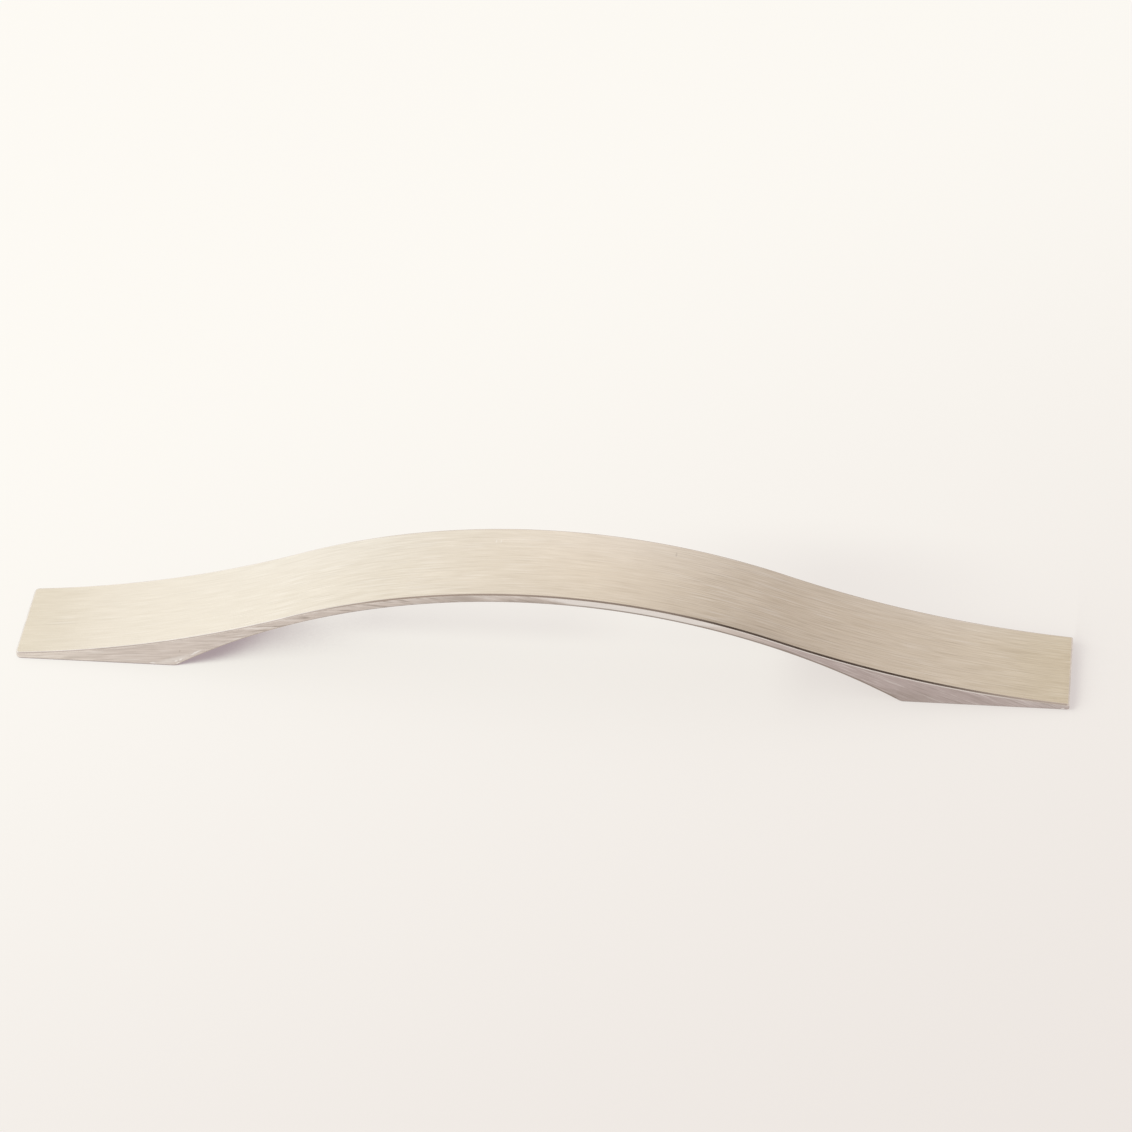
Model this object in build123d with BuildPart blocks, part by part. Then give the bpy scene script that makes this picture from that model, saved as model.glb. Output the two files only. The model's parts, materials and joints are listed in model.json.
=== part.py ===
from build123d import *
import os
from math import cos, radians, sin, sqrt, tan

# Curved cabinet pull, in millimetres. It is one solid slice of an arched bar: a wave-shaped section with
# a thin crown, wedge-shaped feet and a heel under each flank, cut to the width of the band, with a blind
# screw hole up into each foot. X runs along the pull, Y across the band, and Z away from the door.
# The origin is on the mounting face, midway between the screw holes.

# The band
width = 20.0
projection = 25.0  # from the mounting face to the top of the crown
crown_thickness = 2.2
end_thickness = 1.5
end_slope = 5.0  # degrees, rise of the top face where it leaves the end

# The screw holes, and how far the foot runs past them: inwards to the heel and outwards to the end
screw_spacing = 160.0
heel_setback = 4.2
end_overhang = 30.0

# Each screw hole, drilled for an M4 thread
drill_diameter = 3.3
mouth_chamfer = 0.4
mouth_angle = 90.0
point_angle = 118.0
hole_skin = 0.8  # metal left between the drill's point and the top face

# Softened corners and edges
heel_radius = 1.5
corner_radius = 0.6  # the four corners of the band, seen from above
edge_radius = 0.3  # the rims of the top face and of the underside

# The arch runs from heel to heel, and the crown keeps an even thickness over it: both have one centre
screw_x = screw_spacing / 2
heel_x = screw_x - heel_setback
end_x = screw_x + end_overhang
arch_height = projection - crown_thickness
crown_radius = (heel_x**2 + projection**2 - crown_thickness**2) / (2 * arch_height)
crown_centre = Vector(0, projection - crown_radius)

# The hollow leaves the end at the end slope and runs into the crown tangentially
end_top = Vector(-end_x, end_thickness)
end_direction = Vector(cos(radians(end_slope)), sin(radians(end_slope)))
end_normal = Vector(-end_direction.Y, end_direction.X)
reach = end_top - crown_centre
hollow_radius = (reach.dot(reach) - crown_radius**2) / (2 * (crown_radius - end_normal.dot(reach)))
hollow_centre = end_top + end_normal * hollow_radius
left_flank = crown_centre + (hollow_centre - crown_centre).normalized() * crown_radius
right_flank = Vector(-left_flank.X, left_flank.Y)

# The drill stops short of the hollow above it
screw_run = screw_x + hollow_centre.X
foot_thickness = hollow_centre.Y - sqrt(hollow_radius**2 - screw_run**2)
drill_radius = drill_diameter / 2
point_depth = drill_radius / tan(radians(point_angle / 2))
drill_depth = foot_thickness - hole_skin - point_depth

mounting_face = Plane(origin=(0, 0, 0), x_dir=(1, 0, 0), z_dir=(0, 0, -1))

with BuildPart() as pull:
    # The section, drawn from the side: crown, arch, then one end with its hollow and foot, mirrored
    with BuildSketch(Plane.XZ) as section:
        with BuildLine():
            ThreePointArc(left_flank, (0, projection), right_flank)
            ThreePointArc((-heel_x, 0), (0, arch_height), (heel_x, 0))
            hollow = TangentArc(end_top, left_flank, tangent=end_direction)
            end = Line(end_top, (-end_x, 0))
            foot = Line((-end_x, 0), (-heel_x, 0))
            mirror([hollow, end, foot], about=Plane.YZ)
        make_face()
        heels = section.vertices().group_by(Axis.Y)[0].sort_by(Axis.X)[1:-1]
        fillet(heels, radius=heel_radius)
    extrude(amount=width / 2, both=True)

    # The upright corners are rounded first, so that each rim is one smooth loop
    fillet(pull.edges().filter_by(Axis.Z), radius=corner_radius)
    rims = pull.edges().filter_by(Axis.Y, reverse=True).filter_by(Axis.Z, reverse=True)
    fillet(rims, radius=edge_radius)

    # A blind hole with a chamfered mouth up into each foot, and the drill's point at its end
    with Locations(mounting_face):
        with GridLocations(screw_spacing, 0, 2, 1):
            CounterSinkHole(
                radius=drill_radius,
                counter_sink_radius=drill_radius + mouth_chamfer,
                depth=drill_depth,
                counter_sink_angle=mouth_angle,
            )
            with Locations((0, 0, -drill_depth)):
                Cone(
                    bottom_radius=0,
                    top_radius=drill_radius,
                    height=point_depth,
                    align=(Align.CENTER, Align.CENTER, Align.MAX),
                    mode=Mode.SUBTRACT,
                )

pull.part.label = "cabinet_pull"
os.makedirs("parts", exist_ok=True)
export_step(pull.part, "parts/cabinet_pull.step")
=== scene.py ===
"""Curved cabinet pull: models the brushed band over its solid, finishes its metal and sets the stage.

It is laid out as an add-on and run as a script. Sizes are in metres, in the solid's own frame: X runs
along the pull, Y across the band and Z away from the door, and the origin is on the mounting face,
midway between the screws.
"""
import json
from math import atan2, cos, pi, radians, sin, sqrt, tan
from types import SimpleNamespace

import bmesh
import bpy
from bpy.props import FloatProperty, FloatVectorProperty, PointerProperty
from mathutils import Matrix, Vector


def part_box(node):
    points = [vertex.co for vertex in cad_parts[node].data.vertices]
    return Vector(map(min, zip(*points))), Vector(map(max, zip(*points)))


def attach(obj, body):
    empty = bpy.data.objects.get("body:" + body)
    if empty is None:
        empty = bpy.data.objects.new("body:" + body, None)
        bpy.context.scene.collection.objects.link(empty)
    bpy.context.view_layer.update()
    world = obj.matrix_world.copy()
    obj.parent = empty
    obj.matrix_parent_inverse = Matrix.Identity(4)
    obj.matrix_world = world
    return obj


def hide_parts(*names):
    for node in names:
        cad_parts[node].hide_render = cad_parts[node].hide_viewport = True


bl_info = {
    "name": "Curved cabinet pull",
    "version": (1, 0, 0),
    "blender": (4, 5, 0),
    "location": "3D View > Sidebar > Cabinet pull",
    "description": "Models a bow-shaped cabinet pull over its solid, with its metal and its stage",
    "category": "Object",
}

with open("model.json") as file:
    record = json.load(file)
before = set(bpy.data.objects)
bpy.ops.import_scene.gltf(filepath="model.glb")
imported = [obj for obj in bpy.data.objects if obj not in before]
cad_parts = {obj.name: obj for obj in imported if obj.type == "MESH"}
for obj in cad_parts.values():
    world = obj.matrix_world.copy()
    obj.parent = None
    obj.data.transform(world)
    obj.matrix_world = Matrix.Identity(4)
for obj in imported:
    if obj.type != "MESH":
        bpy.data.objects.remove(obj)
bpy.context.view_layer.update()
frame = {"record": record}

MM = 0.001
TINY = 0.001 * MM  # two places closer than this are the same
LOW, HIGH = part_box("cabinet_pull")
SCREWS = next(mount for mount in frame["record"]["mounts"] if mount["name"] == "screw_holes")["dims"]

# In millimetres: where the front side is, a reach past everything, and the camera's sensor
FRONT = LOW[1] / MM
FAR = 1000
SENSOR_WIDTH = 36

# How finely the band is divided: across it, and along each stretch of its section
STRIPS = 8
HOLLOW_STEPS = 36
CROWN_STEPS = 60
FOOT_STEPS = 20
HEEL_STEPS = 4
FLANK_STEPS = HOLLOW_STEPS - FOOT_STEPS - HEEL_STEPS
CORNER_STEPS = 6
RIM_STEPS = 4
ROUND_STEPS = 48
THREAD_STEPS = 24

# The band's finishes, in the order of its material slots
TOP, SIDE, UNDERSIDE, RIM = range(4)


def size(name, description, default):
    """A length that a user may change."""
    return FloatProperty(
        name=name, description=description, default=default, min=0, precision=5, unit="LENGTH"
    )


def turn(name, description, default):
    """An angle that a user may change, given in degrees."""
    return FloatProperty(name=name, description=description, default=radians(default), unit="ROTATION")


def colour(name, description, default):
    """A colour that a user may change."""
    return FloatVectorProperty(
        name=name, description=description, default=default, min=0, subtype="COLOR"
    )


def amount(name, description, default):
    """A plain number that a user may change."""
    return FloatProperty(name=name, description=description, default=default)


class PullSizes(bpy.types.PropertyGroup):
    """The sizes of the band and of its screw holes"""

    length: size("Length", "Over both ends", HIGH[0] - LOW[0])
    width: size("Width", "Across the band", HIGH[1] - LOW[1])
    projection: size("Projection", "From the mounting face to the top of the crown", round(HIGH[2], 4))
    crown_thickness: size("Crown thickness", "Of the band over the arch", 2.2 * MM)
    end_thickness: size("End thickness", "Of the band at its ends", 1.5 * MM)
    end_slope: turn("End slope", "Rise of the top face where it leaves an end", 5)
    screw_spacing: size("Screw spacing", "Between the screw holes", SCREWS["spacing_x_mm"] * MM)
    heel_setback: size("Heel setback", "From a screw hole inwards to its heel", 4.2 * MM)
    heel_radius: size("Heel radius", "Rounding of the heels", 1.5 * MM)
    left_corner_radius: size("Left corner radius", "At the left end, seen from above", 1.0 * MM)
    right_corner_radius: size("Right corner radius", "At the right end, seen from above", 0.35 * MM)
    edge_radius: size("Edge radius", "Of the rims of the top face and of the underside", 0.3 * MM)
    drill_radius: size("Drill radius", "Of a screw hole before it is tapped", SCREWS["hole_r_mm"] * MM)
    mouth_chamfer: size("Mouth chamfer", "Width of the chamfer round a hole's mouth", 0.4 * MM)
    point_angle: turn("Point angle", "Of the drill that made the holes", 118)
    hole_skin: size("Hole skin", "Metal left between the drill's point and the top face", 0.8 * MM)
    thread_pitch: size("Thread pitch", "Rise of the thread in one turn", 0.7 * MM)
    thread_radius: size("Thread radius", "To the bottom of the thread's groove", 2.0 * MM)
    thread_angle: turn("Thread angle", "Between the two flanks of the groove", 60)


class PullFinish(bpy.types.PropertyGroup):
    """The colours of the metal, and how strongly its marks show"""

    top_colour: colour("Top", "Brushed and tinted metal of the top face", (0.82, 0.728, 0.588))
    # A painted highlight: the top is made paler on the left flank, where the light from the left falls
    lit_flank_tint: colour("Left flank", "Multiplies the top's tint on the left flank", (1.075, 1.085, 1.10))
    end_tint: colour("Ends", "Multiplies the top's tint at both ends", (0.90, 0.89, 0.83))
    # The side darkens from the left foot to the right foot: partly the metal's own colour, partly
    # painted shade where less light falls
    left_side_colour: colour("Side, left", "Bare metal of the left foot's side", (0.895, 0.825, 0.765))
    side_colour: colour("Side, arch", "Sanded metal of the arch's side", (0.775, 0.70, 0.657))
    right_side_colour: colour("Side, right", "Sanded metal of the right foot", (0.575, 0.497, 0.488))
    underside_colour: colour("Underside", "Tinted metal under the band", (0.72, 0.65, 0.55))
    rim_colour: colour("Rims", "Burnished metal of the softened edges", (0.55, 0.47, 0.41))
    # A painted dark reflection on the upper edge of the right flank
    rim_dark_reflection_colour: colour("Rims, dark", "Upper edge of the right flank", (0.105, 0.08, 0.066))
    # A painted highlight on the edges of the left flank and of both ends
    rim_highlight_colour: colour("Rims, bright", "Worn edge of the left flank and ends", (0.88, 0.82, 0.77))
    # Painted shade on the lower edges: under the arch right of the left flank, and round the feet
    rim_shade_colour: colour("Rims, dull", "Edge under the arch and round the feet", (0.42, 0.36, 0.35))
    bore_colour: colour("Holes", "Bare cut metal of the threads", (0.72, 0.70, 0.68))
    # Also laid on as painted shade: by the top's front edge, low on the arch's side, along its lower
    # edge and by the right heel
    stain_and_shade_colour: colour("Stain", "Dark residue in marks and scratches", (0.30, 0.25, 0.21))
    # Also laid on as painted highlight: high on the arch's side and along the upper edge right of the
    # crown
    scuff_and_highlight_colour: colour("Scuff", "Bright bare metal of scuffs", (0.97, 0.94, 0.92))
    brush_depth: size("Brush depth", "Height of the brushed lines", 0.005 * MM)
    sanding_depth: size("Sanding depth", "Height of the sanding marks on the sides", 0.012 * MM)


class PullStage(bpy.types.PropertyGroup):
    """The floor, the light and the camera"""

    azimuth: turn("Azimuth", "Of the camera, from the front towards the right", 10.164)
    elevation: turn("Elevation", "Of the camera above the floor", 42.69)
    roll: turn("Roll", "Of the camera about its own axis", -4.304)
    distance: size("Distance", "From the camera to the plane that it aims at", 875.44 * MM)
    aim_right: amount("Aim right", "Place that the camera aims at, to its right, in metres", 5.369 * MM)
    aim_up: amount("Aim up", "Place that the camera aims at, upwards, in metres", 17.532 * MM)
    lens: amount("Lens", "Focal length of the camera in millimetres", 133.57)
    floor_size: size("Floor size", "Length of each side of the floor", 8.0)
    floor_drop: size("Floor drop", "Gap under the feet, so that no faces lie in one plane", 0.02 * MM)
    floor_colour: colour("Floor", "Pale plain floor", (0.85, 0.815, 0.785))
    # The glow's fall from the back left to the front right is painted light, the fall-off of a lamp on
    # the left
    floor_near: colour("Floor, near right", "Its own glow at the front", (0.845, 0.797, 0.760))
    floor_far: colour("Floor, far left", "Its own glow at the back", (1.0, 0.98, 0.925))
    floor_contact: colour("Floor, contact", "Its own glow in the darkest shadow", (0.40, 0.325, 0.355))
    floor_glow: amount("Floor glow", "Share of the floor's look that is its own glow", 0.82)
    contact_reach: size("Contact reach", "How far the contact shadow spreads", 30 * MM)
    sky_left: colour("Light from the left", "The bright side of the room", (1.18, 1.20, 1.215))
    sky_middle: colour("Light from the back", "Between the sides of the room", (1.08, 1.035, 1.005))
    sky_right: colour("Light from the right", "The dimmer side of the room", (0.70, 0.64, 0.61))
    sky_front: colour("Light from the front", "The room behind the camera", (0.66, 0.60, 0.565))
    key_place: FloatVectorProperty(
        name="Key place", description="Of the soft lamp", default=(-1.2, 0, 0.45), subtype="TRANSLATION"
    )
    key_power: FloatProperty(
        name="Key power", description="Of the soft lamp", default=10.5, unit="POWER"
    )
    key_width: size("Key width", "Of the soft lamp", 1.0)
    key_height: size("Key height", "Of the soft lamp", 0.9)


def work_out_section(sizes):
    """Work out the arcs of the section, seen from the front, as its drawing gives them."""
    half = sizes.length / 2
    heel_x = sizes.screw_spacing / 2 - sizes.heel_setback
    arch_height = sizes.projection - sizes.crown_thickness
    crown_radius = (heel_x**2 + sizes.projection**2 - sizes.crown_thickness**2) / (2 * arch_height)
    crown_centre = Vector((0, 0, sizes.projection - crown_radius))

    # The hollow leaves the end at the end slope and meets the crown where both have the flank's slope
    end_top = Vector((-half, 0, sizes.end_thickness))
    end_normal = Vector((-sin(sizes.end_slope), 0, cos(sizes.end_slope)))
    reach = end_top - crown_centre
    hollow_radius = (reach.dot(reach) - crown_radius**2) / (2 * (crown_radius - end_normal.dot(reach)))
    hollow_centre = end_top + end_normal * hollow_radius
    flank_slope = atan2(-hollow_centre.x, hollow_centre.z - crown_centre.z)

    # The heel's rounding touches the foot below it and the arch beside it
    heel_rise = sizes.heel_radius - crown_centre.z
    arch_radius = crown_radius - sizes.crown_thickness
    heel_run = sqrt((arch_radius + sizes.heel_radius) ** 2 - heel_rise**2)

    # The drill stops short of the hollow above it
    screw_run = sizes.screw_spacing / 2 + hollow_centre.x
    foot_thickness = hollow_centre.z - sqrt(hollow_radius**2 - screw_run**2)
    point_depth = sizes.drill_radius / tan(sizes.point_angle / 2)
    return SimpleNamespace(
        half=half,
        crown_centre=crown_centre,
        crown_radius=crown_radius,
        hollow_centre=hollow_centre,
        hollow_radius=hollow_radius,
        flank_x=crown_radius * sin(flank_slope),
        flank_slope=flank_slope,
        heel_centre=Vector((-heel_run, 0, sizes.heel_radius)),
        heel_turn=atan2(heel_run, heel_rise),
        foot_run=half - heel_run,
        point_depth=point_depth,
        drill_depth=foot_thickness - sizes.hole_skin - point_depth,
    )


def middle(edge):
    """The middle of an edge."""
    return (edge.verts[0].co + edge.verts[1].co) / 2


def pick(piece, kind, test):
    """Select those edges or faces of a piece in edit mode that pass a test, and nothing else."""
    bpy.ops.mesh.select_mode(type=kind)
    bpy.ops.mesh.select_all(action="DESELECT")
    shape = bmesh.from_edit_mesh(piece.data)
    for element in {"EDGE": shape.edges, "FACE": shape.faces}[kind]:
        if test(element):
            element.select_set(True)
    shape.select_flush_mode()
    bmesh.update_edit_mesh(piece.data)


def sweep(centre, angle, steps):
    """Carry the selected edges round a centre, seen from the front. The last of them stay selected."""
    bpy.ops.mesh.spin(steps=steps, angle=angle, center=centre, axis=(0, 1, 0))


def draw_out(run, steps):
    """Carry the selected edges to the right in even steps."""
    for _ in range(steps):
        bpy.ops.mesh.extrude_region_move(TRANSFORM_OT_translate={"value": (run / steps, 0, 0)})


def across(centre):
    """The same centre on the other half of the pull."""
    return Vector((-centre.x, centre.y, centre.z))


def start_band(sizes, section):
    """Start the band from the face of its left end, divided into strips across."""
    bpy.ops.object.select_all(action="DESELECT")
    bpy.ops.mesh.primitive_grid_add(
        x_subdivisions=1,
        y_subdivisions=STRIPS,
        size=1,
        location=(-section.half, 0, sizes.end_thickness / 2),
        rotation=(0, pi / 2, 0),
    )
    band = bpy.context.object
    band.name = "pull_band"
    band.scale = (sizes.end_thickness, sizes.width, 1)
    bpy.ops.object.transform_apply(location=True, rotation=True, scale=True)
    return band


def sweep_top(band, sizes, section):
    """Sweep the end's upper edge along the hollow, over the crown and down the other hollow."""
    pick(band, "EDGE", lambda edge: middle(edge).z > sizes.end_thickness * 0.75)
    hollow_turn = section.flank_slope - sizes.end_slope
    sweep(section.hollow_centre, hollow_turn, HOLLOW_STEPS)
    sweep(section.crown_centre, -2 * section.flank_slope, CROWN_STEPS)
    sweep(across(section.hollow_centre), hollow_turn, HOLLOW_STEPS)


def sweep_underside(band, sizes, section):
    """Sweep the end's lower edge along the foot, round the heel, through the arch and out again."""
    low = sizes.end_thickness * 0.25
    at_end = -section.half + TINY
    pick(band, "EDGE", lambda edge: middle(edge).z < low and middle(edge).x < at_end)
    flank_turn = section.flank_slope - section.heel_turn
    draw_out(section.foot_run, FOOT_STEPS)
    sweep(section.heel_centre, section.heel_turn, HEEL_STEPS)
    sweep(section.crown_centre, flank_turn, FLANK_STEPS)
    sweep(section.crown_centre, -2 * section.flank_slope, CROWN_STEPS)
    sweep(section.crown_centre, flank_turn, FLANK_STEPS)
    sweep(across(section.heel_centre), section.heel_turn, HEEL_STEPS)
    draw_out(section.foot_run, FOOT_STEPS)


def close_band(band, sizes, section):
    """Close the right end and the two cut sides between the top and the underside."""
    at_end = section.half - TINY
    pick(band, "EDGE", lambda edge: middle(edge).x > at_end)
    bpy.ops.mesh.bridge_edge_loops()
    for side in (-1, 1):
        at_side = sizes.width / 2 - TINY
        pick(band, "EDGE", lambda edge: middle(edge).y * side > at_side and abs(middle(edge).x) < at_end)
        bpy.ops.mesh.bridge_edge_loops()
    bpy.ops.mesh.select_all(action="SELECT")
    bpy.ops.mesh.normals_make_consistent(inside=False)


def sort_faces(band):
    """Give the top, the sides and the underside their own finishes."""
    for finish, test in (
        (TOP, lambda face: face.normal.z > 0.5),
        (SIDE, lambda face: abs(face.normal.z) < 0.5),
        (UNDERSIDE, lambda face: face.normal.z < -0.5),
    ):
        pick(band, "FACE", test)
        band.active_material_index = finish
        bpy.ops.object.material_slot_assign()


def soften_band(band, sizes, section):
    """Round the four upright corners, and then the rims of the top face and of the underside."""
    at_end = section.half - TINY
    at_side = sizes.width / 2 - TINY
    for end, radius in ((-1, sizes.left_corner_radius), (1, sizes.right_corner_radius)):
        pick(band, "EDGE", lambda edge: middle(edge).x * end > at_end and abs(middle(edge).y) > at_side)
        bpy.ops.mesh.bevel(offset=radius, segments=CORNER_STEPS, affect="EDGES")
    sort_faces(band)
    bpy.ops.mesh.select_mode(type="EDGE")
    bpy.ops.mesh.select_all(action="DESELECT")
    bpy.ops.mesh.edges_select_sharp(sharpness=radians(50))
    bpy.ops.mesh.bevel(offset=sizes.edge_radius, segments=RIM_STEPS, affect="EDGES", material=RIM)


def lay_brush_map(band):
    """Lay a map on the band whose first axis runs the way that the metal is brushed."""
    band.data.uv_layers[0].name = "brush"
    bpy.ops.mesh.select_all(action="SELECT")
    bpy.ops.uv.cube_project(cube_size=1, correct_aspect=False)


def extrude_up(height):
    """Extrude what is selected straight up."""
    bpy.ops.mesh.extrude_region_move(TRANSFORM_OT_translate={"value": (0, 0, height)})


def model_drill(sizes, section):
    """Model the drill with the countersink that chamfers the mouth, to be cut away from the band."""
    clear = 0.2 * MM  # how far it starts below the mounting face
    facet_turn = radians(3.1)  # so that no facet lines up with one of the tap's
    mouth_radius = sizes.drill_radius + sizes.mouth_chamfer + clear
    bpy.ops.object.select_all(action="DESELECT")
    bpy.ops.mesh.primitive_circle_add(
        vertices=ROUND_STEPS,
        radius=mouth_radius,
        fill_type="NGON",
        calc_uvs=False,
        location=(0, 0, -clear),
        rotation=(0, 0, facet_turn),
    )
    drill = bpy.context.object
    bpy.ops.object.transform_apply(location=True, rotation=True)
    bpy.ops.object.mode_set(mode="EDIT")
    bpy.ops.mesh.select_all(action="SELECT")
    extrude_up(sizes.mouth_chamfer + clear)
    narrow = sizes.drill_radius / mouth_radius
    bpy.ops.transform.resize(value=(narrow, narrow, 1), center_override=(0, 0, 0))
    extrude_up(section.drill_depth - sizes.mouth_chamfer)
    extrude_up(section.point_depth)
    bpy.ops.mesh.merge(type="CENTER")
    bpy.ops.mesh.select_all(action="SELECT")
    bpy.ops.mesh.normals_make_consistent(inside=False)
    bpy.ops.object.mode_set(mode="OBJECT")
    return drill


def model_tap(sizes, section):
    """Model the tap, a right-hand helix whose ridge cuts the groove of the thread."""
    core_radius = sizes.drill_radius * 0.94  # inside the drill's, so that the two overlap
    ridge = sizes.thread_radius - core_radius
    flank = ridge * tan(sizes.thread_angle / 2)
    tip = sizes.thread_pitch / 8
    gap = sizes.thread_pitch - 2 * flank - tip
    thread_start = -0.4 * MM  # below the drill's own start
    thread_end = section.drill_depth - sizes.thread_pitch
    turns = int(thread_end / sizes.thread_pitch) + 4  # some to spare at both ends
    bpy.ops.object.select_all(action="DESELECT")
    bpy.ops.mesh.primitive_circle_add(vertices=3, radius=core_radius, calc_uvs=False)
    tap = bpy.context.object
    bpy.ops.object.mode_set(mode="EDIT")
    bpy.ops.mesh.select_mode(type="VERT")
    bpy.ops.mesh.merge(type="CENTER")
    bpy.ops.transform.translate(value=(core_radius, 0, 0))
    for step in ((0, 0, gap), (ridge, 0, flank), (0, 0, tip), (-ridge, 0, flank)):
        bpy.ops.mesh.extrude_vertices_move(TRANSFORM_OT_translate={"value": step})
    bpy.ops.mesh.select_all(action="SELECT")
    bpy.ops.mesh.screw(steps=THREAD_STEPS, turns=turns, center=(0, 0, 0), axis=(0, 0, -1))
    bpy.ops.mesh.select_all(action="SELECT")
    bpy.ops.mesh.remove_doubles(threshold=TINY)
    lowest = min(vertex.co.z for vertex in bmesh.from_edit_mesh(tap.data).verts)
    bpy.ops.transform.translate(value=(0, 0, -lowest - 2 * sizes.thread_pitch))
    for height, above in ((thread_start, False), (thread_end, True)):
        bpy.ops.mesh.select_all(action="SELECT")
        bpy.ops.mesh.bisect(
            plane_co=(0, 0, height),
            plane_no=(0, 0, 1),
            use_fill=True,
            clear_inner=not above,
            clear_outer=above,
            threshold=TINY / 100,
        )
    bpy.ops.mesh.select_all(action="SELECT")
    bpy.ops.mesh.normals_make_consistent(inside=False)
    bpy.ops.object.mode_set(mode="OBJECT")
    return tap


def combine(piece, tool, operation):
    """Add a tool to a piece or cut it away, and delete the tool. A cut takes the tool's own finish."""
    bpy.ops.object.select_all(action="DESELECT")
    bpy.context.view_layer.objects.active = piece
    change = piece.modifiers.new("combine", "BOOLEAN")
    change.operation = operation
    change.solver = "EXACT"
    change.material_mode = "TRANSFER"
    change.object = tool
    bpy.ops.object.modifier_apply(modifier=change.name)
    tool.select_set(True)
    bpy.ops.object.delete()


def drill_and_tap(band, bore_metal, sizes, section):
    """Cut the two tapped holes up into the feet, with one drill and tap and its copy."""
    tool = model_drill(sizes, section)
    tool.data.materials.append(bore_metal)
    combine(tool, model_tap(sizes, section), "UNION")
    tool.select_set(True)
    bpy.ops.object.mode_set(mode="EDIT")
    bpy.ops.mesh.select_all(action="SELECT")
    bpy.ops.mesh.quads_convert_to_tris()
    bpy.ops.transform.translate(value=(-sizes.screw_spacing / 2, 0, 0))
    bpy.ops.mesh.duplicate_move(TRANSFORM_OT_translate={"value": (sizes.screw_spacing, 0, 0)})
    bpy.ops.object.mode_set(mode="OBJECT")
    combine(band, tool, "DIFFERENCE")


def shade_band(band):
    """Shade the band smooth, with its wide faces true beside their narrow rims."""
    bpy.ops.object.select_all(action="DESELECT")
    band.select_set(True)
    bpy.context.view_layer.objects.active = band
    bpy.ops.object.shade_smooth_by_angle(angle=radians(35))
    weigh = band.modifiers.new("weigh", "WEIGHTED_NORMAL")
    weigh.keep_sharp = True
    bpy.ops.object.modifier_apply(modifier=weigh.name)


def test_closed(band):
    """Stop if the band is open anywhere or turned inside out."""
    shape = bmesh.new()
    shape.from_mesh(band.data)
    open_edges = sum(not edge.is_manifold for edge in shape.edges)
    volume = shape.calc_volume()
    shape.free()
    if open_edges or volume <= 0:
        raise RuntimeError(f"the band has {open_edges} open edges and a volume of {volume} cubic metres")


def add_node(tree, kind, inputs=None, **options):
    """Add a node to a tree, set its options, and set or link its inputs."""
    made = tree.nodes.new(kind)
    for name, value in options.items():
        setattr(made, name, value)
    for name, value in (inputs or {}).items():
        if isinstance(value, bpy.types.NodeSocket):
            tree.links.new(value, made.inputs[name])
        else:
            made.inputs[name].default_value = value
    return made


def calculate(tree, operation, *values):
    """Add a Math node and give its result."""
    return add_node(tree, "ShaderNodeMath", dict(enumerate(values)), operation=operation).outputs[0]


def multiply(tree, first, second):
    """The product of two values."""
    return calculate(tree, "MULTIPLY", first, second)


def calculate_vector(tree, operation, *values):
    """Add a Vector Math node and give its result."""
    made = add_node(tree, "ShaderNodeVectorMath", dict(enumerate(values)), operation=operation)
    return made.outputs["Value" if operation in ("DOT_PRODUCT", "LENGTH") else "Vector"]


def spread(tree, value, low, high, new_low=0.0, new_high=1.0):
    """Add a Map Range node that turns one range smoothly into another, and give its result."""
    inputs = {"Value": value, "From Min": low, "From Max": high, "To Min": new_low, "To Max": new_high}
    return add_node(tree, "ShaderNodeMapRange", inputs, interpolation_type="SMOOTHSTEP").outputs[0]


def ramp(tree, reading, low, high, new_low=0.0, new_high=1.0):
    """The same from one place to another, in millimetres."""
    return spread(tree, reading, low * MM, high * MM, new_low, new_high)


def blend(tree, factor, first, second):
    """Add a Mix node for values and give its result."""
    return add_node(tree, "ShaderNodeMix", {0: factor, 2: first, 3: second}).outputs[0]


def mix_colours(tree, factor, first, second, mode="MIX"):
    """Add a Mix node for colours and give its result."""
    first, second = (
        shade if isinstance(shade, bpy.types.NodeSocket) else (*shade, 1) for shade in (first, second)
    )
    inputs = {0: factor, 6: first, 7: second}
    return add_node(tree, "ShaderNodeMix", inputs, data_type="RGBA", blend_type=mode).outputs[2]


def mark(tree, tone, shade, mask, share):
    """Lay a colour over a tone where a mask is, by a share of it."""
    return mix_colours(tree, multiply(tree, mask, share), tone, shade)


def find_place(tree):
    """Where a point is on its piece."""
    return add_node(tree, "ShaderNodeTexCoord").outputs["Object"]


def split(tree, vector):
    """The three parts of a vector, by name."""
    return add_node(tree, "ShaderNodeSeparateXYZ", {0: vector}).outputs


def tilt(tree, place, slope):
    """Turn places about the Y axis by a slope in degrees."""
    inputs = {"Vector": place, "Rotation": (0, radians(slope), 0)}
    return add_node(tree, "ShaderNodeMapping", inputs).outputs[0]


def add_noise(tree, place, scale=1.0, detail=2.0, roughness=0.5):
    """Add a Noise Texture node and give its value."""
    inputs = {"Vector": place, "Scale": scale, "Detail": detail, "Roughness": roughness}
    return add_node(tree, "ShaderNodeTexNoise", inputs).outputs[0]


def start_group(name, inputs, outputs):
    """Start a shader node group with named inputs and outputs, and give its tree and both ends."""
    tree = bpy.data.node_groups.new(name, "ShaderNodeTree")
    for label, kind, value in inputs:
        socket = tree.interface.new_socket(label, in_out="INPUT", socket_type=kind)
        socket.default_value = value
    for label in outputs:
        tree.interface.new_socket(label, in_out="OUTPUT", socket_type="NodeSocketFloat")
    return tree, tree.nodes.new("NodeGroupInput").outputs, tree.nodes.new("NodeGroupOutput").inputs


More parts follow.
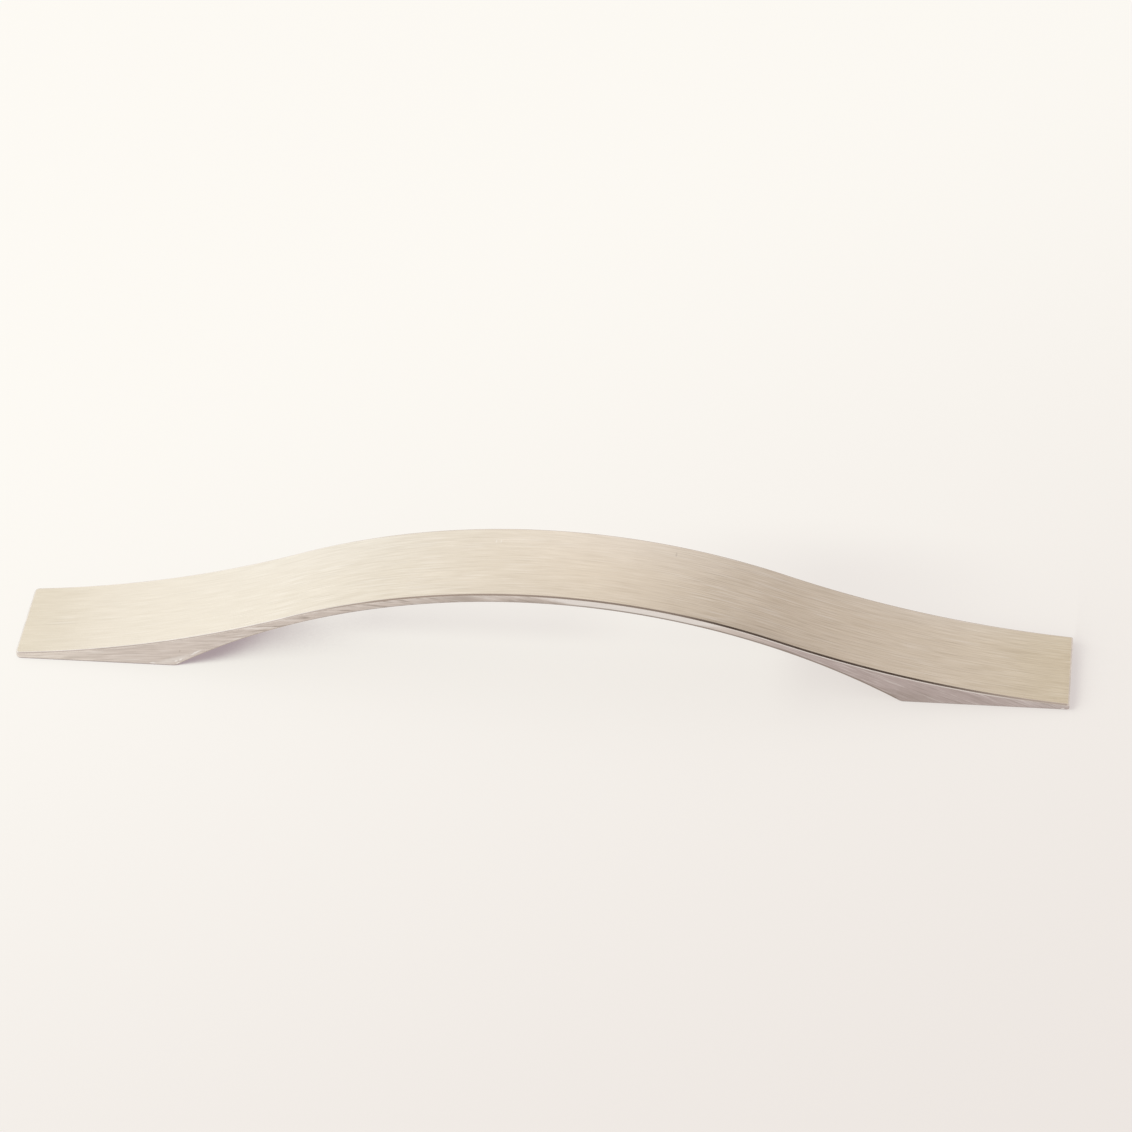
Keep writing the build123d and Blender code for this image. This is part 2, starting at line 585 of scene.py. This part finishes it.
def make_lines_group():
    """Lines left by brushing or sanding: a fine ground, and single hairlines, light and dark."""
    tree, given, result = start_group(
        "Abraded lines",
        (
            ("Vector", "NodeSocketVector", (0, 0, 0)),
            ("Line length", "NodeSocketFloat", 12 * MM),
            ("Line width", "NodeSocketFloat", 0.35 * MM),
        ),
        ("Lines", "Light", "Dark"),
    )
    along = calculate(tree, "DIVIDE", 1.0, given["Line length"])
    wide = calculate(tree, "DIVIDE", 1.0, given["Line width"])
    scale = add_node(tree, "ShaderNodeCombineXYZ", {0: along, 1: wide, 2: wide}).outputs[0]
    place = calculate_vector(tree, "MULTIPLY", given["Vector"], scale)
    fine = add_noise(tree, place, detail=3.0, roughness=0.65)
    broad = add_noise(tree, calculate_vector(tree, "MULTIPLY", place, (0.45, 0.22, 0.22)))
    lines = calculate(tree, "MULTIPLY_ADD", fine, 0.85, multiply(tree, broad, 0.15))
    aside = calculate_vector(tree, "MULTIPLY_ADD", place, (0.8, 0.9, 0.9), (31.7, 5.3, 17.1))
    single = add_noise(tree, aside)
    tree.links.new(lines, result["Lines"])
    tree.links.new(spread(tree, single, 0.56, 0.68), result["Light"])
    tree.links.new(spread(tree, single, 0.44, 0.32), result["Dark"])
    return tree


def make_patch_group():
    """A soft patch: one at its centre, nothing past its reach, and a ragged edge where asked."""
    tree, given, result = start_group(
        "Patch",
        (
            ("Vector", "NodeSocketVector", (0, 0, 0)),
            ("Centre", "NodeSocketVector", (0, 0, 0)),
            ("Reach", "NodeSocketVector", (MM, MM, MM)),
            ("Core", "NodeSocketFloat", 0.5),
            ("Raggedness", "NodeSocketFloat", 0.0),
            ("Grain", "NodeSocketFloat", MM),
        ),
        ("Mask",),
    )
    offset = calculate_vector(tree, "SUBTRACT", given["Vector"], given["Centre"])
    distance = calculate_vector(tree, "LENGTH", calculate_vector(tree, "DIVIDE", offset, given["Reach"]))
    noise = add_noise(tree, given["Vector"], calculate(tree, "DIVIDE", 1.0, given["Grain"]), 3.0)
    wander = multiply(tree, calculate(tree, "SUBTRACT", noise, 0.5), given["Raggedness"])
    mask = spread(tree, calculate(tree, "ADD", distance, wander), given["Core"], 1.0, 1.0, 0.0)
    tree.links.new(mask, result["Mask"])
    return tree


def place_lines(tree, groups, place, length, width):
    """Place lines, with their length and width in millimetres, and give their outputs."""
    inputs = {"Vector": place, "Line length": length * MM, "Line width": width * MM}
    return add_node(tree, "ShaderNodeGroup", inputs, node_tree=groups.lines).outputs


def place_patch(tree, groups, place, centre, reach, core, raggedness=0.0, grain=1.0):
    """Place a patch, with its centre, reach and grain in millimetres, and give its mask."""
    inputs = {
        "Vector": place,
        "Centre": Vector(centre) * MM,
        "Reach": Vector(reach) * MM,
        "Core": core,
        "Raggedness": raggedness,
        "Grain": grain * MM,
    }
    return add_node(tree, "ShaderNodeGroup", inputs, node_tree=groups.patch).outputs["Mask"]


def stroke(tree, groups, place, x, z, slope, half_length, half_width, raggedness=0.8):
    """A mask for one stroke on the front side, at a place and a slope in millimetres and degrees."""
    centre = Matrix.Rotation(radians(slope), 3, "Y") @ Vector((x, FRONT, z))
    reach = (half_length, 2, half_width)
    return place_patch(tree, groups, tilt(tree, place, slope), centre, reach, 0.3, raggedness, 0.5)


def measure_radius(tree, offset):
    """How far away an offset is, seen from the front."""
    return calculate_vector(tree, "LENGTH", calculate_vector(tree, "MULTIPLY", offset, (1, 0, 1)))


def measure_arch(tree, place, section):
    """Where a place is on the arch: the run along it from its middle, and the depth below its top."""
    offset = calculate_vector(tree, "SUBTRACT", place, section.crown_centre)
    reading = split(tree, offset)
    run = multiply(tree, calculate(tree, "ARCTAN2", reading["X"], reading["Z"]), section.crown_radius)
    return run, calculate(tree, "SUBTRACT", section.crown_radius, measure_radius(tree, offset))


def lighten(shade, share):
    """A colour moved towards white by a share, or towards black by a negative one."""
    goal = 1.0 if share > 0 else 0.0
    return tuple(part + (goal - part) * abs(share) for part in shade)


def start_metal(name, roughness, anisotropy):
    """Start a metal, with its highlights across the brushed lines. Gives it, its tree and its shader."""
    metal = bpy.data.materials.new(name)
    metal.use_nodes = True
    tree = metal.node_tree
    shader = tree.nodes["Principled BSDF"]
    shader.inputs["Metallic"].default_value = 1.0
    shader.inputs["Roughness"].default_value = roughness
    shader.inputs["Anisotropic"].default_value = anisotropy
    shader.inputs["Anisotropic Rotation"].default_value = 0.25
    if anisotropy:
        tangent = add_node(tree, "ShaderNodeTangent", direction_type="UV_MAP", uv_map="brush")
        tree.links.new(tangent.outputs[0], shader.inputs["Tangent"])
    return metal, tree, shader


def finish_metal(tree, shader, tone, roughness):
    """Feed a metal its colour and its roughness."""
    tree.links.new(tone, shader.inputs["Base Color"])
    tree.links.new(roughness, shader.inputs["Roughness"])


def raise_lines(tree, shader, lines, depth):
    """Feed the height of lines to a metal's normals."""
    bump = add_node(tree, "ShaderNodeBump", {"Height": lines, "Distance": depth})
    tree.links.new(bump.outputs[0], shader.inputs["Normal"])


def make_top_metal(finish, groups, section):
    """The top face: tinted satin metal, brushed along its length, more strongly right of the crown."""
    metal, tree, shader = start_metal("brushed_top", 0.30, 0.92)
    place = find_place(tree)
    plan = calculate_vector(tree, "MULTIPLY", place, (1, 1, 0))
    along = split(tree, place)["X"]
    brushed = place_lines(tree, groups, plan, 8, 0.21)
    strength = ramp(tree, along, -65, -35, 0.34, 0.75)
    strength = calculate(tree, "ADD", strength, ramp(tree, along, 22, 40, 0.0, 1.1))
    strength = calculate(tree, "SUBTRACT", strength, ramp(tree, along, 46, 72, 0.0, 0.75))
    shade = finish.top_colour
    pale = lighten(shade, 0.6)
    stain_and_shade = finish.stain_and_shade_colour
    ground = calculate(tree, "SUBTRACT", spread(tree, brushed["Lines"], 0.3, 0.7), 0.5)
    ground = calculate(tree, "MULTIPLY_ADD", ground, strength, 0.5)
    tone = mix_colours(tree, ground, lighten(shade, -0.13), lighten(shade, 0.16))
    tone = mark(tree, tone, pale, brushed["Light"], multiply(tree, strength, 0.34))
    tone = mark(tree, tone, stain_and_shade, brushed["Dark"], multiply(tree, strength, 0.13))

    # Soft clouds from handling, a painted highlight that makes the left flank paler, and yellower ends
    clouds = add_noise(tree, plan, 1 / (28 * MM))
    tone = mix_colours(tree, spread(tree, clouds, 0.3, 0.7, 0.0, 0.06), tone, lighten(shade, -0.35))
    lit_flank = multiply(tree, ramp(tree, along, -28, -64), ramp(tree, along, -112, -66, 0.35))
    tone = mix_colours(tree, lit_flank, tone, finish.lit_flank_tint, "MULTIPLY")
    left_end = spread(tree, along, -88 * MM, -section.half, 0.0, 0.5)
    right_end = spread(tree, along, 80 * MM, section.half)
    yellowed = calculate(tree, "ADD", left_end, right_end)
    tone = mix_colours(tree, yellowed, tone, finish.end_tint, "MULTIPLY")

    # Painted sheen in paler stretches by the back edge, painted shade in darker ones by the front,
    # rubbed lines, a nick and two ticks
    for x, y, half_length, half_width, core, share, tint in (
        # Painted sheen along the back edge
        (-42, 10.5, 50, 14, 0.0, 0.14, pale),
        (22, 10.5, 46, 14, 0.0, 0.28, pale),
        (80, 10.5, 48, 8, 0.0, 0.22, pale),
        # Painted shade along the front edge, deepest by the right flank
        (4, -11, 40, 10, 0.0, 0.08, stain_and_shade),
        (46, -11, 34, 15, 0.0, 0.08, stain_and_shade),
        (45, -10.5, 26, 4, 0.0, 0.18, stain_and_shade),
        (-102.0, -0.1, 2.6, 0.16, 0.3, 0.10, stain_and_shade),
        (-102.6, -0.8, 4.2, 0.16, 0.3, 0.12, stain_and_shade),
        (-101.4, -1.6, 6.8, 0.18, 0.3, 0.14, stain_and_shade),
        (-100.6, 0.15, 2.4, 0.16, 0.3, 0.25, pale),
        (-101.8, -1.2, 4.4, 0.16, 0.3, 0.25, pale),
        (28.6, 7.4, 0.28, 0.9, 0.3, 0.24, stain_and_shade),
        (-8.4, 6.05, 0.22, 0.7, 0.3, 0.4, pale),
        (-7.4, 6.05, 0.22, 0.7, 0.3, 0.4, pale),
    ):
        mask = place_patch(tree, groups, plan, (x, y, 0), (half_length, half_width, FAR), core)
        tone = mark(tree, tone, tint, mask, share)
    finish_metal(tree, shader, tone, spread(tree, brushed["Lines"], 0.25, 0.75, 0.34, 0.27))
    raise_lines(tree, shader, multiply(tree, brushed["Lines"], strength), finish.brush_depth)
    return metal


def make_side_metal(finish, groups, section):
    """The cut sides and ends: sanded bare, with marks of use on the front side."""
    metal, tree, shader = start_metal("sanded_side", 0.38, 0.6)
    place = find_place(tree)
    reading = split(tree, place)
    along = reading["X"]
    run, depth = measure_arch(tree, place, section)
    strip = add_node(tree, "ShaderNodeCombineXYZ", {0: run, 1: reading["Y"], 2: depth}).outputs[0]
    stain_and_shade = finish.stain_and_shade_colour
    scuff_and_highlight = finish.scuff_and_highlight_colour

    # Three ways of sanding: level on the left foot, slanting over the arch, fine and steep on the right
    level = place_lines(tree, groups, tilt(tree, place, 6), 6, 0.4)
    slanting = place_lines(tree, groups, tilt(tree, strip, 15), 5, 0.42)
    steep = place_lines(tree, groups, tilt(tree, place, -24), 4, 0.22)
    crossed = place_patch(tree, groups, strip, (-30, 0, 0), (41, FAR, FAR), 0.85)
    right = ramp(tree, along, 30, 50)
    lines, light, dark = (
        blend(tree, crossed, blend(tree, right, level[name], steep[name]), slanting[name])
        for name in ("Lines", "Light", "Dark")
    )

    # The ground darkens from left to right, partly its own colour and partly painted shade, and over the
    # arch from its upper edge to its lower one
    tone = mix_colours(tree, ramp(tree, along, -108, -82), finish.left_side_colour, finish.side_colour)
    over_arch = multiply(tree, ramp(tree, along, -50, -28), ramp(tree, along, 44, 34))
    # Painted highlight high on the arch's side and painted shade low on it
    tone = mark(tree, tone, scuff_and_highlight, over_arch, ramp(tree, depth, 1.1, 0.3, 0.0, 0.3))
    tone = mark(tree, tone, stain_and_shade, over_arch, ramp(tree, depth, 0.9, 1.9, 0.0, 0.15))
    tone = mix_colours(tree, ramp(tree, along, 38, 57), tone, finish.right_side_colour)
    right_end = spread(tree, along, 92 * MM, section.half, 0.0, 0.36)
    tone = mark(tree, tone, scuff_and_highlight, right_end, ramp(tree, reading["Z"], 0.2, 1.4, 0.25, 1.0))
    contrast = calculate(tree, "MULTIPLY_ADD", crossed, 1.2, ramp(tree, along, 30, 50, 1.0, 1.15))
    tone = mix_colours(tree, spread(tree, lines, 0.3, 0.7, 0.22, 0.0), tone, stain_and_shade)
    tone = mark(tree, tone, stain_and_shade, multiply(tree, dark, 0.26), contrast)
    tone = mark(tree, tone, scuff_and_highlight, multiply(tree, light, 0.24), contrast)

    # Two dark stretches by the crown's middle, and a smooth light patch right of it
    for x, below, half_length, half_width, share in ((-14, 1.2, 9, 2, 0.34), (1, 1.9, 11, 1.6, 0.4)):
        reach = (half_length, FAR, half_width)
        stained = place_patch(tree, groups, strip, (x, FRONT, below), reach, 0.1, 0.8, 2)
        tone = mark(tree, tone, stain_and_shade, stained, share)
    smooth = place_patch(tree, groups, strip, (22, FRONT, 0.2), (20, FAR, 2.4), 0.8, 0.2, 3)
    tone = mark(tree, tone, lighten(finish.side_colour, 0.6), smooth, 0.85)

    # Right of the crown a painted highlight runs under the upper edge, down to the foot, and painted
    # shade darkens the arch's lower edge
    offset = calculate_vector(tree, "SUBTRACT", place, across(section.hollow_centre))
    hollow_depth = calculate(tree, "SUBTRACT", measure_radius(tree, offset), section.hollow_radius)
    past_crown = calculate(tree, "GREATER_THAN", along, section.flank_x)
    below_top = blend(tree, past_crown, depth, hollow_depth)
    stretch = multiply(tree, ramp(tree, along, 32, 48), ramp(tree, along, 106, 92))
    tone = mark(tree, tone, scuff_and_highlight, stretch, ramp(tree, below_top, 0.66, 0.44, 0.0, 0.7))
    stretch = multiply(tree, ramp(tree, along, 4, 14), ramp(tree, reading["Z"], 0.6, 1.4))
    tone = mark(tree, tone, stain_and_shade, stretch, ramp(tree, depth, 1.55, 1.8, 0.0, 0.85))

    # The left heel is rubbed light with a dark tick above it, and painted shade lies low along the right
    # heel
    rubbed = stroke(tree, groups, place, -75.6, 1.9, 20, 6.0, 1.0, 0.5)
    tone = mark(tree, tone, scuff_and_highlight, rubbed, 0.4)
    right_heel_shade = stroke(tree, groups, place, 76.0, 1.0, 0, 10.0, 3.5, 0.3)
    tone = mark(tree, tone, stain_and_shade, right_heel_shade, 0.22)
    tick = stroke(tree, groups, place, -74.3, 4.4, 70, 0.6, 0.25)
    tone = mark(tree, tone, stain_and_shade, tick, 0.25)

    # Strokes down to bright metal, on the left heel and at the right end's corner
    scuffed = 0.0
    for x, z, slope, half_length, half_width in (
        (-70.7, 4.35, 31, 1.5, 0.3),
        (-71.5, 3.75, 31, 0.9, 0.26),
        (-74.35, 2.0, 40, 0.7, 0.3),
        (-75.4, 1.45, 30, 0.55, 0.3),
        (-74.9, 0.95, 20, 0.8, 0.26),
        (-80.5, 0.6, 5, 0.9, 0.34),
        (108.7, 0.35, 0, 0.5, 0.25),
    ):
        mask = stroke(tree, groups, place, x, z, slope, half_length, half_width)
        scuffed = calculate(tree, "MAXIMUM", scuffed, mask)
    tone = mix_colours(tree, scuffed, tone, scuff_and_highlight)
    rough = spread(tree, lines, 0.25, 0.75, 0.46, 0.34)
    finish_metal(tree, shader, tone, calculate(tree, "MULTIPLY_ADD", scuffed, 0.12, rough))
    flattened = calculate(tree, "MULTIPLY_ADD", smooth, -0.8, 1.0)
    raise_lines(tree, shader, multiply(tree, lines, flattened), finish.sanding_depth)
    return metal


def make_underside_metal(finish, groups):
    """The underside: the top's tint, brushed more coarsely and less evenly."""
    metal, tree, shader = start_metal("brushed_underside", 0.36, 0.8)
    plan = calculate_vector(tree, "MULTIPLY", find_place(tree), (1, 1, 0))
    lines = place_lines(tree, groups, plan, 18, 0.4)["Lines"]
    shade = finish.underside_colour
    tone = mix_colours(tree, spread(tree, lines, 0.3, 0.7), lighten(shade, -0.1), lighten(shade, 0.1))
    finish_metal(tree, shader, tone, spread(tree, lines, 0.25, 0.75, 0.42, 0.33))
    raise_lines(tree, shader, lines, finish.brush_depth * 1.6)
    return metal


def make_rim_metal(finish, groups, section):
    """The softened edges, with painted light: highlights at both ends and on the left flank, a dark
    reflection on the right, and shade below.
    """
    metal, tree, shader = start_metal("burnished_rim", 0.18, 0.0)
    place = find_place(tree)
    reading = split(tree, place)
    along = reading["X"]
    depth = measure_arch(tree, place, section)[1]
    worn = place_lines(tree, groups, place, 6, 1.5)["Lines"]
    rim_highlight = finish.rim_highlight_colour
    rim_shade = finish.rim_shade_colour

    # The upper edge: painted highlight on the left flank, a painted dark reflection on the front side
    # right of the crown, and painted highlight near the right end
    above = mix_colours(tree, ramp(tree, along, -26, -50, 0.0, 0.85), finish.rim_colour, rim_highlight)
    dark = ramp(tree, along, -15, 26, 0.0, 0.4)
    dark = calculate(tree, "ADD", dark, ramp(tree, along, 27, 43, 0.0, 0.6))
    dark = multiply(tree, dark, ramp(tree, along, 106, 76))
    above = mark(tree, above, finish.rim_dark_reflection_colour, dark, ramp(tree, reading["Y"], 2, -2))
    above = mix_colours(tree, spread(tree, along, 84 * MM, section.half, 0.0, 0.35), above, rim_highlight)

    # The arch's edge and the feet's in painted shade, and the right end's
    below = mix_colours(tree, ramp(tree, along, -52, -40), finish.rim_colour, rim_shade)
    tone = mix_colours(tree, ramp(tree, depth, 0.9, 1.3), above, below)
    tone = mix_colours(tree, ramp(tree, reading["Z"], 0.35, 0.6), rim_shade, tone)
    # Painted highlight on the outermost edges of both ends
    outermost = spread(tree, along, section.half - 0.6 * MM, section.half - 0.3 * MM)
    tone = mix_colours(tree, outermost, tone, rim_highlight)
    tone = mix_colours(tree, spread(tree, worn, 0.3, 0.7, 0.25, 0.0), tone, finish.stain_and_shade_colour)
    finish_metal(tree, shader, tone, spread(tree, worn, 0.3, 0.7, 0.22, 0.14))
    return metal


def make_bore_metal(finish, groups):
    """The tapped holes: bare metal with the fine rings that a drill and a tap leave."""
    metal, tree, shader = start_metal("tapped_bore", 0.34, 0.0)
    rings = place_lines(tree, groups, find_place(tree), 2, 0.12)["Lines"]
    shade = finish.bore_colour
    tone = mix_colours(tree, spread(tree, rings, 0.3, 0.7), lighten(shade, -0.2), lighten(shade, 0.1))
    finish_metal(tree, shader, tone, spread(tree, rings, 0.25, 0.75, 0.42, 0.28))
    return metal


class OBJECT_OT_add_pull_band(bpy.types.Operator):
    """Model the brushed band of the pull, with its two tapped holes"""

    bl_idname = "object.add_pull_band"
    bl_label = "Add the band"

    def execute(self, context):
        sizes = context.scene.pull_sizes
        finish = context.scene.pull_finish
        section = work_out_section(sizes)
        groups = SimpleNamespace(lines=make_lines_group(), patch=make_patch_group())
        band = start_band(sizes, section)
        for metal in (
            make_top_metal(finish, groups, section),
            make_side_metal(finish, groups, section),
            make_underside_metal(finish, groups),
            make_rim_metal(finish, groups, section),
        ):
            band.data.materials.append(metal)
        bpy.ops.object.mode_set(mode="EDIT")
        sweep_top(band, sizes, section)
        sweep_underside(band, sizes, section)
        close_band(band, sizes, section)
        soften_band(band, sizes, section)
        lay_brush_map(band)
        bpy.ops.object.mode_set(mode="OBJECT")
        drill_and_tap(band, make_bore_metal(finish, groups), sizes, section)
        shade_band(band)
        test_closed(band)
        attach(band, "root")
        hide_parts("cabinet_pull")
        return {"FINISHED"}


def shade_floor(tree, stage, place):
    """How much of the floor's glow is left: all of it in the open, and less in the pull's shadows."""
    reading = split(tree, place)
    along = reading["X"]
    forward = add_node(tree, "ShaderNodeCombineXYZ", {0: -0.15, 1: -0.4, 2: 0.9}).outputs[0]
    reach = {"Distance": stage.contact_reach, "Normal": forward}
    open_sky = add_node(tree, "ShaderNodeAmbientOcclusion", reach).outputs["AO"]

    # Close by: deep at the left heel, gone from the arch's middle on, and faint past the right end
    past_end = ramp(tree, along, 108, 111)
    darkest = calculate(tree, "MULTIPLY_ADD", past_end, 0.36, ramp(tree, along, -70, -56, 0.38, 0.17))
    lightest = calculate(tree, "MULTIPLY_ADD", past_end, 0.42, 0.58)
    front_end = multiply(tree, past_end, ramp(tree, reading["Y"], 11, 2, 0.5, 1.0))
    faint = calculate(tree, "MULTIPLY_ADD", front_end, -0.3, ramp(tree, along, -40, -15))
    left_over = calculate(tree, "MAXIMUM", spread(tree, open_sky, darkest, lightest), faint)

    # Softer and wider: under the back of the arch, by the right heel, and behind the right flank
    deep = calculate(
        tree, "SUBTRACT", ramp(tree, along, -48, -34, 0.0, 0.5), ramp(tree, along, 0, 22, 0.0, 0.4)
    )
    deep = multiply(tree, deep, ramp(tree, reading["Y"], 1, 8))
    deep = calculate(tree, "ADD", deep, ramp(tree, along, 46, 58, 0.0, 0.3))
    soft = multiply(tree, calculate(tree, "SUBTRACT", 1.0, open_sky), deep)
    away = calculate_vector(tree, "SUBTRACT", place, (55 * MM, 27 * MM, 0))
    away = calculate_vector(tree, "DIVIDE", away, (50 * MM, 20 * MM, 1))
    behind = spread(tree, calculate_vector(tree, "LENGTH", away), 1.0, 0.0, 0.0, 0.12)
    return calculate(tree, "SUBTRACT", calculate(tree, "SUBTRACT", left_over, soft), behind)


def lay_floor(stage):
    """Lay the pale floor under the feet. From below it lets the underside be seen."""
    bpy.ops.object.select_all(action="DESELECT")
    bpy.ops.mesh.primitive_plane_add(size=stage.floor_size, location=(0, 0, -stage.floor_drop))
    floor = bpy.context.object
    floor.name = "floor"
    paper = bpy.data.materials.new("pale_floor")
    paper.use_nodes = True
    tree = paper.node_tree
    shader = tree.nodes["Principled BSDF"]
    shader.inputs["Base Color"].default_value = (*stage.floor_colour, 1)
    shader.inputs["Roughness"].default_value = 0.9
    shader.inputs["Specular IOR Level"].default_value = 0.1

    # Its own glow, which the camera sees, and the metal too, there without the shadows
    place = find_place(tree)
    # Painted light: the glow is paler towards the back left and dimmer towards the front right
    slope = calculate_vector(tree, "DOT_PRODUCT", place, (-0.6, 0.8, 0))
    glow = mix_colours(tree, spread(tree, slope, -0.2, 0.14), stage.floor_near, stage.floor_far)
    path = add_node(tree, "ShaderNodeLightPath").outputs
    mirrored = calculate(tree, "MAXIMUM", path["Is Glossy Ray"], path["Is Transmission Ray"])
    left_over = calculate(tree, "MAXIMUM", shade_floor(tree, stage, place), mirrored)
    shaded = mix_colours(tree, left_over, stage.floor_contact, glow)
    shine = add_node(tree, "ShaderNodeEmission", {"Color": shaded}).outputs[0]
    seen = calculate(tree, "MAXIMUM", path["Is Camera Ray"], mirrored)
    share = multiply(tree, seen, stage.floor_glow)
    lit = add_node(tree, "ShaderNodeMixShader", {0: share, 1: shader.outputs[0], 2: shine}).outputs[0]
    clear = add_node(tree, "ShaderNodeBsdfTransparent").outputs[0]
    from_below = add_node(tree, "ShaderNodeNewGeometry").outputs["Backfacing"]
    mixed = add_node(tree, "ShaderNodeMixShader", {0: from_below, 1: lit, 2: clear}).outputs[0]
    tree.links.new(mixed, tree.nodes["Material Output"].inputs["Surface"])
    floor.data.materials.append(paper)


def rise(tree, value, low, high):
    """Add a Map Range node that goes straight from nothing to one, and give its result."""
    inputs = {"Value": value, "From Min": low, "From Max": high}
    return add_node(tree, "ShaderNodeMapRange", inputs).outputs[0]


def light_room(stage):
    """Light the room softly: brighter from the left, dimmer from the right and behind the camera."""
    room = bpy.data.worlds.new("soft_room")
    room.use_nodes = True
    bpy.context.scene.world = room
    tree = room.node_tree
    towards = add_node(tree, "ShaderNodeTexCoord").outputs["Generated"]
    leftward = calculate_vector(tree, "DOT_PRODUCT", towards, (-1, 0, 0))
    right_half = mix_colours(tree, rise(tree, leftward, -0.4, 0.0), stage.sky_right, stage.sky_middle)
    sides = mix_colours(tree, rise(tree, leftward, 0.0, 0.5), right_half, stage.sky_left)
    frontward = calculate_vector(tree, "DOT_PRODUCT", towards, (0, -0.8, 0.6))
    dimmed = mix_colours(tree, spread(tree, frontward, 0.2, 0.9), sides, stage.sky_front)
    tree.links.new(dimmed, tree.nodes["Background"].inputs["Color"])

    place = Vector(stage.key_place)
    facing = place.to_track_quat("Z", "Y").to_euler()
    bpy.ops.object.light_add(type="AREA", location=place, rotation=facing)
    key = bpy.context.object
    key.name = "soft_key"
    key.data.shape = "RECTANGLE"
    key.data.energy = stage.key_power
    key.data.size = stage.key_width
    key.data.size_y = stage.key_height
    key.visible_glossy = False  # the metal mirrors the room alone, so that no edge glints white


def set_camera(stage):
    """Set the camera where the photograph was taken from."""
    level_back = Vector((sin(stage.azimuth), -cos(stage.azimuth), 0))
    back = level_back * cos(stage.elevation) + Vector((0, 0, sin(stage.elevation)))
    right = Vector((cos(stage.azimuth), sin(stage.azimuth), 0))
    level = Matrix((right, back.cross(right), back)).transposed()
    facing = level @ Matrix.Rotation(stage.roll, 3, "Z")
    place = facing @ Vector((stage.aim_right, stage.aim_up, stage.distance))
    bpy.ops.object.camera_add(location=place, rotation=facing.to_euler())
    camera = bpy.context.object
    camera.name = "camera"
    camera.data.sensor_width = SENSOR_WIDTH
    camera.data.lens = stage.lens
    bpy.context.scene.camera = camera


class OBJECT_OT_set_pull_stage(bpy.types.Operator):
    """Lay the floor, light the room and set the camera"""

    bl_idname = "object.set_pull_stage"
    bl_label = "Set the stage"

    def execute(self, context):
        stage = context.scene.pull_stage
        lay_floor(stage)
        light_room(stage)
        set_camera(stage)
        context.scene.view_settings.view_transform = "Standard"
        return {"FINISHED"}


class VIEW3D_PT_cabinet_pull(bpy.types.Panel):
    """Lists the pull's operators and what a user may change"""

    bl_idname = "VIEW3D_PT_cabinet_pull"
    bl_label = "Cabinet pull"
    bl_space_type = "VIEW_3D"
    bl_region_type = "UI"
    bl_category = "Cabinet pull"

    def draw(self, context):
        column = self.layout.column()
        for operator in OPERATORS:
            column.operator(operator.bl_idname)
        for settings in (context.scene.pull_sizes, context.scene.pull_finish, context.scene.pull_stage):
            box = self.layout.box()
            for name in settings.__annotations__:
                box.prop(settings, name)


OPERATORS = (OBJECT_OT_add_pull_band, OBJECT_OT_set_pull_stage)
CLASSES = (PullSizes, PullFinish, PullStage, *OPERATORS, VIEW3D_PT_cabinet_pull)


def register():
    for part in CLASSES:
        bpy.utils.register_class(part)
    bpy.types.Scene.pull_sizes = PointerProperty(type=PullSizes)
    bpy.types.Scene.pull_finish = PointerProperty(type=PullFinish)
    bpy.types.Scene.pull_stage = PointerProperty(type=PullStage)


def unregister():
    del bpy.types.Scene.pull_stage
    del bpy.types.Scene.pull_finish
    del bpy.types.Scene.pull_sizes
    for part in reversed(CLASSES):
        bpy.utils.unregister_class(part)


def main():
    """Build the pull and its stage."""
    register()
    bpy.ops.object.add_pull_band()
    bpy.ops.object.set_pull_stage()


if __name__ == "__main__":
    main()
